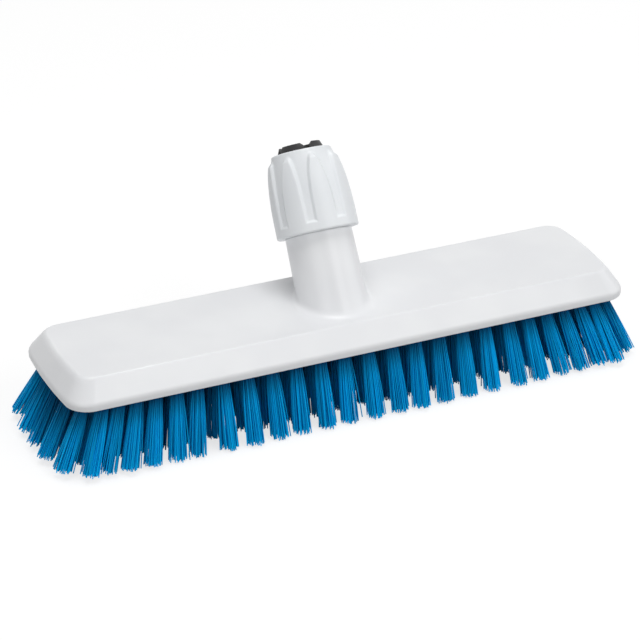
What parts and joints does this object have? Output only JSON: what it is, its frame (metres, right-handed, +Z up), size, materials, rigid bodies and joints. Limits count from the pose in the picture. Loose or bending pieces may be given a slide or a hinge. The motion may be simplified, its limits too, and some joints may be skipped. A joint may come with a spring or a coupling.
{
  "type": "deck scrub broom head",
  "caption": "Moulded scrub broom head with an angled handle socket, a screw-down clamp nut over a split collet, and splayed bristle tufts.",
  "frame": {"origin": "on the floor plane under the middle of the whole head, bristle tips on z = 0", "axes": "+X along the block, +Y the side that the handle socket leans to, +Z up"},
  "size_m": [0.3272, 0.095, 0.1228],
  "materials": {
    "white_plastic": "white moulded polypropylene, satin",
    "nut_plastic": "cool white moulded polypropylene, satin",
    "black_plastic": "black moulded nylon, matte",
    "blue_bristle": "blue polyester filament"
  },
  "bodies": {
    "head": {"head_block": "white_plastic", "tuft_bank_01": "blue_bristle", "tuft_bank_02": "blue_bristle", "tuft_bank_03": "blue_bristle", "tuft_bank_04": "blue_bristle", "tuft_bank_05": "blue_bristle", "tuft_bank_06": "blue_bristle", "tuft_bank_07": "blue_bristle", "tuft_bank_08": "blue_bristle", "tuft_bank_09": "blue_bristle", "tuft_bank_10": "blue_bristle", "tuft_bank_11": "blue_bristle", "tuft_bank_12": "blue_bristle", "tuft_bank_13": "blue_bristle", "tuft_bank_14": "blue_bristle", "tuft_bank_15": "blue_bristle", "tuft_bank_16": "blue_bristle", "tuft_bank_17": "blue_bristle", "tuft_bank_18": "blue_bristle", "tuft_bank_19": "blue_bristle", "tuft_bank_20": "blue_bristle", "tuft_bank_21": "blue_bristle", "tuft_bank_22": "blue_bristle", "tuft_bank_23": "blue_bristle", "tuft_bank_24": "blue_bristle", "tuft_bank_25": "blue_bristle", "tuft_bank_26": "blue_bristle"},
    "collet": {"collet": "black_plastic"},
    "nut": {"clamp_nut": "nut_plastic"}
  },
  "joints": [
    {"name": "collet_slide", "type": "slide", "parent": "head", "child": "collet", "axis": [0, 0.515, 0.8572], "range_m": [0, 0.006]},
    {"name": "nut_turn", "type": "hinge", "parent": "collet", "child": "nut", "pos_m": [0, 0.02405, 0.09697], "axis": [0, 0.515, 0.8572], "range_deg": [0, 720]}
  ],
  "couplings": [
    {"joint": "collet_slide", "follows": "nut_turn", "m_per_rad": 0.00047746}
  ]
}
